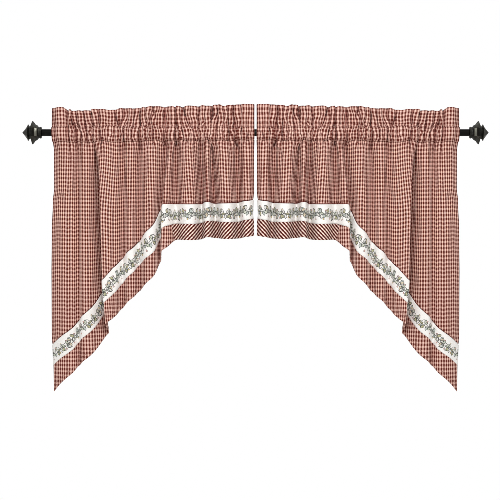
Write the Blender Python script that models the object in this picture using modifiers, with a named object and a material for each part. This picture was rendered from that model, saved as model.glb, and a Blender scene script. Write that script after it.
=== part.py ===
"""A pair of swag valance panels gathered on one curtain rod.

Metres, +Z up, +X to the right as seen from the room, +Y towards the wall. The origin is the middle of
the rod's axis. The right panel is the left one mirrored, as the pair is sewn.
"""
import math
from collections import namedtuple

import bmesh
import bpy
from mathutils import Vector

for leftover in list(bpy.data.objects):
    bpy.data.objects.remove(leftover, do_unlink=True)

MM = 0.001

# The rod and its ends
ROD_LENGTH = 1356 * MM
ROD_RADIUS = 11 * MM
ROD_SIDES = 24
ROD_EDGE = 0.8 * MM
SEAT_GAP = 0.3 * MM
FINIAL_SIDES = 6

# The cloth, in mm but for its thickness. LAYER is how far each layer of the ruffle stands from its middle,
# GATHER the deepest fold at the pocket, ROD_HOLD how close the pocket comes to the rod's axis, and SETTLE how
# far below the pocket its front layer takes to fall back under the rod. OPENING under 1 lets the folds deepen
# soon below the pocket, and PINCH over 1 makes each valley narrower than the ridges beside it.
CLOTH = 1.5 * MM
HUNG_WIDTH = 640
PANEL_GAP = 10
SEAM_GAP = 1.6
LAYER = 1.6
STITCH_ABOVE = 18
STITCH_BELOW = 24
GATHER = 9
ROD_HOLD = 12.6
POCKET_ROUNDNESS = 0.6
RUFFLE_FLARE = 0.5
SETTLE = 40
OPENING = 0.4
PINCH = 1.7

# How finely the sheets are divided. NEARBY is how far to each side, in folds, the cloth's direction is taken.
FOLD_STEPS = 3
NEARBY = 0.12
ROW_CROWDING = 1.15
POCKET_STEPS = 4
HEADING_STEPS = 2
PANEL_STEPS = 9
STRIP_STEPS = 2

# A turned profile of the finial: from the rod outwards, how far along and how far out its corners are, in mm
Turn = namedtuple("Turn", "part along corner")
FINIAL = (
    Turn("collar", 0, 13.5),
    Turn("collar", 1.5, 18),
    Turn("collar", 6, 18.5),
    Turn("neck", 9, 19.5),
    Turn("cup", 15, 22.5),
    Turn("cup", 20, 25.5),
    Turn("cup", 25, 31),
    Turn("cup lip", 29.5, 37.5),
    Turn("cup lip", 32, 35),
    Turn("groove", 36, 21),
    Turn("groove", 39, 20),
    Turn("crown", 41.5, 25),
    Turn("crown tip", 44, 26.5),
    Turn("crown", 49, 17),
    Turn("crown", 56, 8),
    Turn("point", 63, 0),
)

# The left panel's folds, one row for each, from its outer edge to its inner edge, in mm. "across" is how
# far the fold hangs from the panel's outer edge, at the rod pocket, at the band and at the hem. "depth" is
# how far it stands back from the plane through the rod, at the pocket and at the hem; a ridge's is negative.
# "heading" is the ruffle's height above the rod, and the last three are the drops below the rod of the
# band's upper seam, its lower seam and the hem.
Fold = namedtuple(
    "Fold",
    "name pocket_across band_across hem_across pocket_depth hem_depth heading band_top band_foot hem",
)
FOLDS = (
    Fold("outer edge", 0, -3, 5, 4, 22, 80, 676, 741, 824),
    Fold("soft ridge", 54, 54, 53, -5, -10, 80, 629, 698, 773),
    Fold("soft dip", 80, 81, 82, 3, 8, 73, 601, 669, 742),
    Fold("outer ridge", 107, 110, 115, -6, -13, 73, 570, 640, 714),
    Fold("deep pleat", 139, 161, 177, 9, 40, 72, 498, 570, 641),
    Fold("pleat's front", 151, 162, 176, -6, -28, 72, 468, 538, 605),
    Fold("broad ridge", 190, 193, 196, -7, -20, 73, 430, 511, 586),
    Fold("mild valley", 223, 221, 218, 6, 13, 78, 402, 482, 562),
    Fold("narrow ridge", 248, 247, 250, -6, -16, 78, 373, 450, 528),
    Fold("valley", 278, 275, 275, 7, 18, 79, 347, 422, 505),
    Fold("ridge", 314, 311, 312, -7, -25, 81, 305, 389, 467),
    Fold("drifting pleat", 363, 341, 341, 9, 34, 81, 247, 339, 412),
    Fold("thin ridge", 376, 355, 351, -5, -22, 80, 227, 298, 372),
    Fold("valley", 393, 391, 392, 8, 18, 79, 226, 288, 339),
    Fold("broad ridge", 432, 436, 437, -8, -23, 82, 229, 291, 342),
    Fold("valley", 475, 473, 470, 8, 24, 86, 226, 287, 339),
    Fold("thin ridge", 488, 491, 493, -6, -18, 86, 221, 281, 332),
    Fold("valley", 501, 514, 522, 8, 23, 84, 225, 281, 335),
    Fold("broad ridge", 543, 552, 556, -8, -24, 85, 226, 285, 338),
    Fold("valley", 585, 589, 592, 9, 25, 91, 222, 283, 336),
    Fold("slight ridge", 613, 616, 618, -5, -9, 91, 218, 277, 331),
    Fold("inner edge", 640, 640, 640, 5, 12, 91, 213, 272, 327),
)


def mix(start, end, share):
    return start + (end - start) * share


def eased(share):
    share = min(max(share, 0.0), 1.0)
    return share * share * (3 - 2 * share)


def plain_material(name, colour, roughness, metallic=0.0):
    material = bpy.data.materials.new(name)
    material.use_nodes = True
    shader = material.node_tree.nodes["Principled BSDF"]
    shader.inputs["Base Color"].default_value = (*colour, 1.0)
    shader.inputs["Roughness"].default_value = roughness
    shader.inputs["Metallic"].default_value = metallic
    return material


def add_part(name, mesh, material):
    part = bpy.data.objects.new(name, mesh)
    part.data.materials.append(material)
    parts.objects.link(part)
    return part


def fold_point(index, drop):
    """Where one fold hangs at a drop below the rod: across the panel, and back from the rod's plane."""
    if index < 0:
        return [2 * a - b for a, b in zip(fold_point(0, drop), fold_point(1, drop))]
    if index >= len(FOLDS):
        last = len(FOLDS) - 1
        return [2 * a - b for a, b in zip(fold_point(last, drop), fold_point(last - 1, drop))]
    fold = FOLDS[index]
    to_band = min(max((drop - STITCH_BELOW) / (fold.band_top - STITCH_BELOW), 0.0), 1.0)
    to_hem = min(max((drop - fold.band_top) / (fold.hem - fold.band_top), 0.0), 1.0)
    across = mix(fold.pocket_across, fold.band_across, to_band)
    across += (fold.hem_across - fold.band_across) * to_hem
    down = min(max((drop - STITCH_BELOW) / (fold.hem - STITCH_BELOW), 0.0), 1.0) ** OPENING
    return [across, mix(fold.pocket_depth, fold.hem_depth, down)]


def cloth_line(column, drop):
    """A point of the cloth's middle line between two folds, and the line's direction there.

    The line is a Catmull-Rom curve through the folds, with its valleys narrowed, so it turns round each ridge
    and valley, and leans over its foot where two folds hang closer than they are deep.
    """
    index = min(int(column), len(FOLDS) - 2)
    t = column - index
    before, start, end, after = (fold_point(index + step, drop) for step in (-1, 0, 1, 2))
    point = []
    direction = []
    for a, b, c, d in zip(before, start, end, after):
        leave = (c - a) / 2
        arrive = (d - b) / 2
        cubic = 2 * b - 2 * c + leave + arrive
        square = 3 * c - 3 * b - 2 * leave - arrive
        point.append(b + leave * t + square * t * t + cubic * t ** 3)
        direction.append(leave + 2 * square * t + 3 * cubic * t * t)
    rise = end[1] - start[1]
    share = min(max((point[1] - start[1]) / rise, 0.0), 1.0)
    to_valley = share if rise > 0 else 1 - share
    narrowed = to_valley ** PINCH
    point[1] = mix(start[1], end[1], narrowed if rise > 0 else 1 - narrowed)
    direction[1] *= PINCH * to_valley ** (PINCH - 1)
    return point, direction


def between_folds(column, field):
    """A size from the table of folds, read at any column."""
    index = min(int(column), len(FOLDS) - 2)
    start = getattr(FOLDS[index], field)
    end = getattr(FOLDS[index + 1], field)
    return mix(start, end, column - index)


def placed(column, drop, layer=0.0, bulge=0.0, flare=1.0):
    """A point of the sheet: layer moves it off the middle line, bulge moves it away from the rod."""
    (across, depth), (run, turn) = cloth_line(column, drop)
    length = math.hypot(run, turn)
    across -= layer * turn / length
    depth = depth * flare + layer * run / length + bulge
    x = -(PANEL_GAP / 2 + HUNG_WIDTH) + across
    return x * MM, depth * MM, -drop * MM


def pocket_point(column, angle, layer):
    """The rod pocket: its two layers part above the rod and are stitched together again below it."""
    reach = STITCH_ABOVE if angle < math.pi / 2 else STITCH_BELOW
    bulge = (ROD_HOLD + GATHER - LAYER) * max(math.sin(angle), 0.0) ** POCKET_ROUNDNESS
    return placed(column, -reach * math.cos(angle), layer * LAYER, layer * bulge)


def heading_point(column, share, layer):
    """The ruffle above the pocket, whose gathers open out towards its top."""
    turn_over = between_folds(column, "heading") - CLOTH / MM / 2 - LAYER
    height = mix(STITCH_ABOVE, turn_over, share) + LAYER * (1 - abs(layer))
    return placed(column, -height, layer * LAYER, flare=1 + RUFFLE_FLARE * share)


def hanging_point(column, share, top, foot):
    """The cloth below the pocket, between the drops that two seams of the table give."""
    drop = mix(top, foot, share)
    layer = -LAYER * (1 - eased((drop - STITCH_BELOW) / SETTLE))
    return placed(column, drop, layer)


def panel_rows():
    """The panel's rows, from the pocket's hem behind the rod, over the ruffle's top, to the band's seam."""
    rows = []
    for step in range(POCKET_STEPS):
        angle = math.pi * (1 - step / POCKET_STEPS)
        rows.append(lambda column, angle=angle: pocket_point(column, angle, 1))
    for step in range(HEADING_STEPS + 1):
        share = step / HEADING_STEPS
        rows.append(lambda column, share=share: heading_point(column, share, 1))
    rows.append(lambda column: heading_point(column, 1, 0))
    for step in range(HEADING_STEPS + 1):
        share = 1 - step / HEADING_STEPS
        rows.append(lambda column, share=share: heading_point(column, share, -1))
    for step in range(1, POCKET_STEPS):
        angle = math.pi * step / POCKET_STEPS
        rows.append(lambda column, angle=angle: pocket_point(column, angle, -1))
    for step in range(PANEL_STEPS + 1):
        share = (step / PANEL_STEPS) ** ROW_CROWDING
        rows.append(lambda column, share=share: hanging_point(
            column, share, STITCH_BELOW, between_folds(column, "band_top") - SEAM_GAP / 2))
    return rows


def strip_rows(upper, lower, lower_gap):
    """The rows of a strip that is sewn along the panel's edge, between two seams."""
    rows = []
    for step in range(STRIP_STEPS + 1):
        share = step / STRIP_STEPS
        rows.append(lambda column, share=share: hanging_point(
            column, share, between_folds(column, upper) + SEAM_GAP / 2,
            between_folds(column, lower) - lower_gap))
    return rows


def cloth_sheet(name, rows, side, material):
    """A grid of the cloth's threads, laid on the folds row by row, then given its thickness.

    Each point moves half the thickness to the front and half to the back, square to the folded surface,
    and every cut edge is split the same way, so two strips that meet along a seam have edges that match.
    """
    columns = (len(FOLDS) - 1) * FOLD_STEPS
    last = len(rows) - 1
    sheet = bmesh.new()
    bmesh.ops.create_grid(sheet, x_segments=columns, y_segments=last, size=1.0)
    extruded = bmesh.ops.extrude_face_region(sheet, geom=list(sheet.faces), use_keep_orig=True)
    back = {element for element in extruded["geom"] if isinstance(element, bmesh.types.BMVert)}
    thread = {}
    for vert in sheet.verts:
        column = round((vert.co.x + 1) / 2 * columns) / FOLD_STEPS
        row = round((1 - vert.co.y) / 2 * last)
        thread[vert] = (column, row)
        along = Vector(rows[row](column + NEARBY)) - Vector(rows[row](column - NEARBY))
        down = Vector(rows[min(row + 1, last)](column)) - Vector(rows[max(row - 1, 0)](column))
        half_thick = along.cross(down).normalized() * CLOTH / 2
        vert.co = Vector(rows[row](column)) + (-half_thick if vert in back else half_thick)
    for face in list(sheet.faces):
        ahead = [vert for vert in face.verts if vert not in back]
        behind = [vert for vert in face.verts if vert in back]
        if ahead and behind:
            bmesh.utils.face_split(face, min(ahead, key=thread.get), max(behind, key=thread.get))
    bmesh.ops.scale(sheet, vec=(side, 1, 1), verts=sheet.verts)
    bmesh.ops.recalc_face_normals(sheet, faces=sheet.faces)
    bmesh.ops.triangulate(sheet, faces=sheet.faces, quad_method="SHORT_EDGE")
    mesh = bpy.data.meshes.new(name)
    sheet.to_mesh(mesh)
    sheet.free()
    mesh.shade_smooth()
    mesh.set_sharp_from_angle(angle=math.radians(50))
    return add_part(name, mesh, material)


def rod(material):
    """The steel rod that both panels are gathered on."""
    bpy.ops.mesh.primitive_cylinder_add(
        vertices=ROD_SIDES, radius=ROD_RADIUS, depth=ROD_LENGTH, rotation=(0, math.pi / 2, 0))
    part = bpy.context.object
    part.name = "rod"
    part.data.materials.append(material)
    for collection in list(part.users_collection):
        collection.objects.unlink(part)
    parts.objects.link(part)
    edge = part.modifiers.new("rolled edge", "BEVEL")
    edge.width = ROD_EDGE
    edge.segments = 2
    edge.limit_method = "ANGLE"
    edge.angle_limit = math.radians(60)
    return part


def finial(name, side, material):
    """A six-sided finial with a flared cup and a pointed crown, its flats to the room, on the rod's end."""
    profile = bmesh.new()
    seat = ROD_LENGTH / 2 + SEAT_GAP
    stations = [(0.0, 0.0)] + [(turn.along, turn.corner) for turn in FINIAL]
    verts = [profile.verts.new(((seat + along * MM) * side, 0.0, corner * MM)) for along, corner in stations]
    for inner, outer in zip(verts, verts[1:]):
        profile.edges.new((outer, inner) if side > 0 else (inner, outer))
    mesh = bpy.data.meshes.new(name)
    profile.to_mesh(mesh)
    profile.free()
    part = add_part(name, mesh, material)
    turned = part.modifiers.new("six sides", "SCREW")
    turned.axis = "X"
    turned.steps = FINIAL_SIDES
    turned.render_steps = FINIAL_SIDES
    turned.use_merge_vertices = True
    turned.merge_threshold = 0.00001
    return part


parts = bpy.data.collections.new("swag valance on rod")
bpy.context.scene.collection.children.link(parts)

gingham = plain_material("red gingham", (0.37, 0.16, 0.13), 0.85)
band_cloth = plain_material("cream printed band", (0.62, 0.58, 0.52), 0.8)
bias_gingham = plain_material("red gingham cut on the bias", (0.33, 0.15, 0.12), 0.85)
black_metal = plain_material("black enamelled steel", (0.02, 0.02, 0.018), 0.38, 0.6)
dark_bronze = plain_material("dark bronze finish", (0.06, 0.06, 0.05), 0.42, 0.7)

rod(black_metal)
for side, where in ((-1, "left"), (1, "right")):
    finial("finial_" + where, side, dark_bronze)
    cloth_sheet("panel_" + where, panel_rows(), -side, gingham)
    cloth_sheet("vine_band_" + where, strip_rows("band_top", "band_foot", SEAM_GAP / 2), -side, band_cloth)
    cloth_sheet("bias_border_" + where, strip_rows("band_foot", "hem", 0), -side, bias_gingham)
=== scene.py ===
"""A pair of swag valance panels gathered on a curtain rod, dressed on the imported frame, in metres."""
import math
from collections import namedtuple

import bmesh
import bpy
import numpy as np
from mathutils import Matrix, Vector, noise


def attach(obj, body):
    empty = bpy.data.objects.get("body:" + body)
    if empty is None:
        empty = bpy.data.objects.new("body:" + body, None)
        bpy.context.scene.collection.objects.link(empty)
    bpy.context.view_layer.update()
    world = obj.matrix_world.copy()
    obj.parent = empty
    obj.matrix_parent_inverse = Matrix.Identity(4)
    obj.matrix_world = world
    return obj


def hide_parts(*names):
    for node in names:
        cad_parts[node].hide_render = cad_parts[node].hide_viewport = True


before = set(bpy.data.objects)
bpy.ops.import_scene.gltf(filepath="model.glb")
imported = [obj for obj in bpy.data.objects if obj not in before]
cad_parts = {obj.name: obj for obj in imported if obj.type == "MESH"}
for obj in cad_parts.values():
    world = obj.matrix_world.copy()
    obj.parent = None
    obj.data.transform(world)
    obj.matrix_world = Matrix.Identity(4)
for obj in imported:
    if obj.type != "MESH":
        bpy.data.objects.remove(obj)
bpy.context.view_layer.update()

# ---- Camera and studio ------------------------------------
# The view is level and square to the rod, from far enough that the folds show no perspective. The wall and
# the window are left out: the room is white, with a plain pale floor well below the valance.
MM = 0.001
CAMERA_LENS = 85.0
CAMERA_SENSOR = 36.0
CAMERA_AT = (-17.5 * MM, -3.75, -372.7 * MM)
FILM_FILTER = 0.7
VALANCE_MIDDLE = (0, 0, -0.35)
FLOOR_LEVEL = -1.45
FLOOR_HALF_WIDTH = 1.25
ROOM_SEEN = ((1.0, 1.0, 1.0), 1.0)
ROOM_FILL = ((1.0, 0.99, 0.97), 0.66)


def fill_in(tree, node, inputs):
    """Sets a node's inputs, by name or number: each is a number, a vector, a colour or a node's output."""
    for title, value in dict(inputs).items():
        socket = node.inputs[title]
        if isinstance(value, bpy.types.NodeSocket):
            tree.links.new(value, socket)
        elif socket.type == "RGBA":
            socket.default_value = (*value, 1.0)
        else:
            socket.default_value = value


def add_node(tree, kind, inputs=(), **settings):
    node = tree.nodes.new("ShaderNode" + kind)
    for key, value in settings.items():
        setattr(node, key, value)
    fill_in(tree, node, inputs)
    return node


def new_material(name):
    material = bpy.data.materials.new(name)
    material.use_nodes = True
    return material, material.node_tree, material.node_tree.nodes["Principled BSDF"]


def joined_mesh(name, shape, material):
    """Makes the shape an object of its own, with its material."""
    mesh = bpy.data.meshes.new(name)
    shape.to_mesh(mesh)
    shape.free()
    piece = bpy.data.objects.new(name, mesh)
    piece.data.materials.append(material)
    scene.collection.objects.link(piece)
    return piece


def soft_box(name, at, size, power):
    """A square softbox that faces the middle of the valance."""
    data = bpy.data.lights.new(name, "AREA")
    data.shape = "SQUARE"
    data.size = size
    data.energy = power
    light = bpy.data.objects.new(name, data)
    light.location = at
    light.rotation_euler = (Vector(VALANCE_MIDDLE) - Vector(at)).to_track_quat("-Z", "Y").to_euler()
    scene.collection.objects.link(light)
    return light


scene = bpy.context.scene
scene.view_settings.view_transform = "Standard"
scene.cycles.filter_width = FILM_FILTER
camera_data = bpy.data.cameras.new("camera")
camera_data.lens = CAMERA_LENS
camera_data.sensor_width = CAMERA_SENSOR
camera = bpy.data.objects.new("camera", camera_data)
camera.location = CAMERA_AT
camera.rotation_euler = (math.radians(90), 0, 0)
scene.collection.objects.link(camera)
scene.camera = camera

white_room = bpy.data.worlds.new("white room")
white_room.use_nodes = True
scene.world = white_room
room = white_room.node_tree
room.nodes.clear()
seen_light, fill_light = [
    add_node(room, "Background", {"Color": colour, "Strength": strength}).outputs[0]
    for colour, strength in (ROOM_SEEN, ROOM_FILL)]
either = add_node(room, "MixShader", {
    0: add_node(room, "LightPath").outputs["Is Camera Ray"], 1: fill_light, 2: seen_light})
add_node(room, "OutputWorld", {"Surface": either.outputs[0]})

soft_box("key softbox", (0.0, -2.1, 0.75), 0.7, 23.8)
soft_box("low front softbox", (0.0, -2.6, -0.8), 1.2, 4.5)
# Small softboxes at the sides that only glint on the rod and the finials
for side in (-1, 1):
    soft_box("upper glint", (1.05 * side, -2.1, 1.2), 0.5, 26.0).visible_diffuse = False
    soft_box("level glint", (0.8 * side, -2.1, 0.2), 0.25, 4.0).visible_diffuse = False

floor_paint, floor_tree, floor_shader = new_material("pale floor")
fill_in(floor_tree, floor_shader, {"Base Color": (0.82, 0.81, 0.79), "Roughness": 0.8})
floor_sheet = bmesh.new()
bmesh.ops.create_grid(floor_sheet, x_segments=1, y_segments=1, size=FLOOR_HALF_WIDTH)
bmesh.ops.translate(floor_sheet, verts=floor_sheet.verts, vec=(0, 0, FLOOR_LEVEL))
floor = joined_mesh("floor", floor_sheet, floor_paint)


# ---- The rod ----------------------------------------------
# A drawn steel tube, 22 mm across, with rolled ends, in a black baked enamel that has a low sheen. The enamel
# is a little rubbed along the tube where the pocket and the brackets have slid on it.
ROD_RADIUS = 11.0
ROD_END = 678.0
ROLLED_END = 0.8
ROD_SHARP = math.radians(50)
ROD_SIDES = 96
ROUGHNESS_SWING = 0.22
METAL_GRAIN = 1600.0
GRAIN_STRENGTH = 0.35
RUBBED_PAST = 0.56
RUBBED_EDGE = 9.0


def math_node(tree, operation, *values, clamp=False):
    """A Math node's output; the values are numbers or other nodes' outputs."""
    return add_node(tree, "Math", enumerate(values), operation=operation, use_clamp=clamp).outputs[0]


def blend_colours(tree, share, first, second):
    """A Mix node of two colours; share, first and second are values or outputs."""
    return add_node(tree, "Mix", {0: share, 6: first, 7: second}, data_type="RGBA").outputs[2]


def bumped(tree, height, strength, distance):
    return add_node(tree, "Bump", {"Height": height, "Strength": strength, "Distance": distance}).outputs["Normal"]


def new_group(name, inputs, outputs):
    """An empty node group, what comes into it, and its end node. Its sockets are given as titles and kinds."""
    group = bpy.data.node_groups.new(name, "ShaderNodeTree")
    for way, sockets in (("INPUT", inputs), ("OUTPUT", outputs)):
        for title, kind in sockets.items():
            group.interface.new_socket(title, in_out=way, socket_type="NodeSocket" + kind)
    return group, group.nodes.new("NodeGroupInput").outputs, group.nodes.new("NodeGroupOutput")


# rubbed finish: Wear is 1 where the finish is rubbed, Tone wanders round 0.5, Height is its fine grain
rubbed, rubbed_in, rubbed_out = new_group(
    "rubbed finish", {"Place": "Vector", "Patch": "Float", "Amount": "Float"},
    {"Wear": "Float", "Tone": "Float", "Height": "Float"})
patches = add_node(rubbed, "TexNoise", {
    "Vector": rubbed_in["Place"], "Scale": rubbed_in["Patch"], "Detail": 6.0}).outputs["Fac"]
grain = add_node(rubbed, "TexNoise", {"Vector": rubbed_in["Place"], "Scale": METAL_GRAIN, "Detail": 3.0})
past = math_node(rubbed, "SUBTRACT", patches, RUBBED_PAST)
over = math_node(rubbed, "MULTIPLY", past, RUBBED_EDGE, clamp=True)
fill_in(rubbed, rubbed_out, {
    "Wear": math_node(rubbed, "MULTIPLY", over, rubbed_in["Amount"]), "Tone": patches,
    "Height": grain.outputs["Fac"]})


def metal_finish(name, colours, roughness, patch, amount, grain_depth, look, toned=None):
    """A finish on metal, blended from a dark and a light colour, with worn places in a third. look holds the
    shader's other numbers, and toned is a function that changes the colour along the piece."""
    material, tree, shader = new_material(name)
    dark, light, worn = colours
    place = add_node(tree, "TexCoord").outputs["Object"]
    finish = add_node(tree, "Group", {"Place": place, "Patch": patch, "Amount": amount}, node_tree=rubbed).outputs
    colour = blend_colours(tree, finish["Tone"], dark, light)
    colour = blend_colours(tree, finish["Wear"], colour, worn)
    rough = math_node(tree, "MULTIPLY_ADD", finish["Tone"], ROUGHNESS_SWING, roughness - ROUGHNESS_SWING / 2)
    fill_in(tree, shader, {
        "Base Color": toned(tree, place, colour) if toned else colour, "Roughness": rough,
        "Normal": bumped(tree, finish["Height"], GRAIN_STRENGTH, grain_depth), **look})
    return material


enamel = metal_finish(
    "black enamel", ((0.0015, 0.0015, 0.0012), (0.005, 0.005, 0.0045), (0.03, 0.03, 0.027)), roughness=0.36,
    patch=22.0, amount=0.35, grain_depth=0.05 * MM, look={
        "Metallic": 0.0, "Specular IOR Level": 0.02, "Coat Weight": 0.18, "Coat Roughness": 0.08})
rod_tube = bmesh.new()
bmesh.ops.create_cone(
    rod_tube, cap_ends=True, cap_tris=False, segments=ROD_SIDES, radius1=ROD_RADIUS * MM,
    radius2=ROD_RADIUS * MM, depth=2 * ROD_END * MM, matrix=Matrix.Rotation(math.pi / 2, 4, "Y"))
bmesh.ops.bevel(
    rod_tube, geom=[edge for edge in rod_tube.edges if edge.calc_face_angle(0) > 1], offset=ROLLED_END * MM,
    offset_type="OFFSET", affect="EDGES", segments=3, profile=0.5, material=-1)
rod = joined_mesh("steel_rod", rod_tube, enamel)
rod.data.shade_smooth()
rod.data.set_sharp_from_angle(angle=ROD_SHARP)
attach(rod, "root")
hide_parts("rod")


# ---- The finials ------------------------------------------
# Zinc castings on the rod's ends: a six-sided collar and flared cup with a sharp lip, a groove, and a pointed
# crown. They are finished in a dark bronze, with painted reflections that make the flats lighter and painted
# shade across the neck and the cup.
SIX_SIDES = 6
FINIAL_SEAT = ROD_END + 0.3
CORNER_BEVEL = 0.45
CORNER_PAST = math.radians(20)
FINIAL_SHARP = math.radians(32)
SIDES = (("left", -1), ("right", 1))
# The profile through a corner of the casting: along from the seat, and out from the middle
PROFILE = {
    "seat": [(0.0, 0.0)],
    "collar": [(0.0, 13.4), (1.2, 17.6), (3.0, 18.9), (6.0, 18.6)],
    "neck": [(7.6, 17.4), (10.3, 18.8), (12.6, 21.2)],
    "cup throat": [(14.0, 23.4), (20.4, 26.6)],
    "cup": [(23.0, 30.6), (26.5, 35.0)],
    "cup lip": [(29.6, 37.5), (31.6, 36.0), (32.6, 32.6)],
    "groove": [(33.4, 24.0), (36.0, 19.6), (39.0, 20.0)],
    "crown": [(41.5, 24.6)],
    "crown tip": [(43.6, 26.8), (45.0, 25.8)],
    "crown's slope": [(46.2, 21.5), (51.0, 14.6), (57.0, 6.9)],
    "point": [(62.6, 0.0)],
}
FINIAL_LENGTH = PROFILE["point"][0][0]
# The bronze's colour is scaled along the finial by painted light: a painted reflection on the flats that face
# the room and the wall, brightest round the throat of the cup, and painted shade, near black across the neck and
# the cup. Each row gives how far along, and the tone on the flats and on the edges. A tone of 1 leaves it as it
# is.
PaintedBand = namedtuple("PaintedBand", "along flats edges")
PAINTED_LIGHT_BANDS = [PaintedBand(*row) for row in (
    (0, 0.6, 0.7), (7, 0.6, 0.8), (10, 0.3, 0.8), (12.5, 0.5, 1.1), (14, 5.0, 1.3), (20, 4.6, 1.5),
    (22, 0.7, 1.7), (26, 0.3, 1.6), (33, 0.3, 0.7), (38, 0.5, 0.9), (42, 1.1, 2.1), (50, 1.0, 1.6),
    (58, 1.5, 1.2), (62, 0.5, 0.5),
)]
TONE_LIMIT = 5.0
FLAT_HALF_HEIGHT = 12.5


def painted_light_tones(tree, along, field):
    """How much painted light and painted shade the finial takes along its length, as shares of the lightest."""
    tones = add_node(tree, "ValToRGB", {"Fac": along})
    stops = tones.color_ramp.elements
    for number, finish in enumerate(PAINTED_LIGHT_BANDS):
        place = finish.along / FINIAL_LENGTH
        stop = stops[0] if number == 0 else stops[-1] if number == len(PAINTED_LIGHT_BANDS) - 1 else stops.new(place)
        stop.position = place
        stop.color = (*[getattr(finish, field) / TONE_LIMIT] * 3, 1)
    return tones.outputs["Color"]


def painted_reflections_and_shade(tree, place, colour):
    """The colour with painted reflections and painted shade along the finial, on its flats and on its edges."""
    parts = add_node(tree, "SeparateXYZ", {0: place}).outputs
    outwards = math_node(tree, "ABSOLUTE", parts["X"])
    along = math_node(tree, "MULTIPLY_ADD", outwards, 1 / (FINIAL_LENGTH * MM), -FINIAL_SEAT / FINIAL_LENGTH)
    off_flat = math_node(
        tree, "MULTIPLY_ADD", math_node(tree, "ABSOLUTE", parts["Z"]), 1 / MM, -FLAT_HALF_HEIGHT, clamp=True)
    tone = blend_colours(
        tree, off_flat, painted_light_tones(tree, along, "flats"), painted_light_tones(tree, along, "edges"))
    toned = add_node(tree, "VectorMath", {0: colour, 1: tone}, operation="MULTIPLY")
    return add_node(tree, "VectorMath", {0: toned.outputs[0], "Scale": TONE_LIMIT}, operation="SCALE").outputs[0]


# The bronze takes painted reflections and painted shade along its length, over its real rubbed wear
bronze = metal_finish(
    "dark bronze", ((0.011, 0.011, 0.009), (0.034, 0.034, 0.028), (0.11, 0.11, 0.093)), roughness=0.40,
    patch=60.0, amount=0.4, grain_depth=0.12 * MM, look={"Metallic": 0.75, "Specular IOR Level": 0.25},
    toned=painted_reflections_and_shade)
for where, side in SIDES:
    casting = bmesh.new()
    profile = [
        casting.verts.new(((FINIAL_SEAT + along) * MM, 0.0, corner * MM))
        for turns in PROFILE.values() for along, corner in turns]
    edges = [casting.edges.new(pair) for pair in zip(profile, profile[1:])]
    bmesh.ops.spin(
        casting, geom=profile + edges, cent=(0, 0, 0), axis=(1, 0, 0), angle=math.tau, steps=SIX_SIDES,
        use_merge=True)
    bmesh.ops.remove_doubles(casting, verts=casting.verts, dist=0.01 * MM)
    corners = [edge for edge in casting.edges if edge.calc_face_angle(0) > CORNER_PAST]
    bmesh.ops.bevel(
        casting, geom=corners, offset=CORNER_BEVEL * MM, offset_type="OFFSET", affect="EDGES", segments=2,
        profile=0.5, material=-1, clamp_overlap=True)
    if side < 0:
        bmesh.ops.rotate(
            casting, verts=casting.verts, cent=(0, 0, 0), matrix=Matrix.Rotation(math.pi, 3, "Z"))
    bmesh.ops.recalc_face_normals(casting, faces=casting.faces)
    piece = joined_mesh("cast_finial_" + where, casting, bronze)
    piece.data.shade_smooth()
    piece.data.set_sharp_from_angle(angle=FINIAL_SHARP)
    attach(piece, "root")
    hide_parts("finial_" + where)


# ---- The gingham panels -----------------------------------
# Each panel is one piece of light cotton gingham, 1060 mm wide and gathered to 640 mm on the rod. Its top is
# folded to the back and sewn twice across, which makes the ruffle and the rod pocket. Below them it hangs in
# folds that are listed here as they hang, from the outer edge to the middle of the window.
CLOTH = 0.9
FLAT_WIDTH = 1060.0
HUNG_WIDTH = 640.0
HALF_GAP = 5.0
LAYER = 1.6
STITCH_ABOVE = 18.0
STITCH_BELOW = 24.0
Fold = namedtuple("Fold", "pocket_across band_across hem_across pocket_depth hem_depth band_top band_foot hem")
FOLDS = [Fold(*row) for row in (
    (0, -3, 5, 4, 22, 676, 741, 824),  # outer edge
    (54, 54, 53, -5, -10, 629, 698, 773),  # soft ridge
    (80, 81, 82, 3, 8, 601, 669, 742),  # soft dip
    (107, 110, 115, -6, -13, 570, 640, 714),  # outer ridge
    (139, 161, 172, 9, 40, 498, 570, 641),  # deep pleat
    (151, 162, 172, -6, -28, 468, 538, 605),  # pleat's front
    (190, 193, 196, -7, -20, 430, 511, 586),  # broad ridge
    (223, 221, 218, 6, 8, 402, 482, 562),  # mild valley
    (248, 247, 250, -6, -12, 373, 450, 528),  # narrow ridge
    (278, 275, 275, 7, 11, 347, 422, 505),  # valley
    (314, 311, 312, -7, -21, 305, 389, 467),  # ridge
    (363, 341, 341, 8, 19, 247, 339, 412),  # drifting pleat
    (376, 355, 351, -5, -15, 227, 298, 372),  # thin ridge
    (393, 391, 392, 8, 18, 226, 288, 339),  # valley
    (432, 436, 437, -8, -23, 229, 291, 342),  # broad ridge
    (475, 473, 470, 8, 24, 226, 287, 339),  # valley
    (488, 491, 493, -6, -18, 221, 281, 332),  # thin ridge
    (501, 514, 522, 8, 23, 225, 281, 335),  # valley
    (543, 552, 556, -8, -24, 226, 285, 338),  # broad ridge
    (585, 589, 592, 9, 25, 222, 283, 336),  # valley
    (613, 616, 618, -5, -9, 218, 277, 331),  # slight ridge
    (640, 640, 640, 5, 12, 213, 272, 327),  # inner edge
)]
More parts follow.
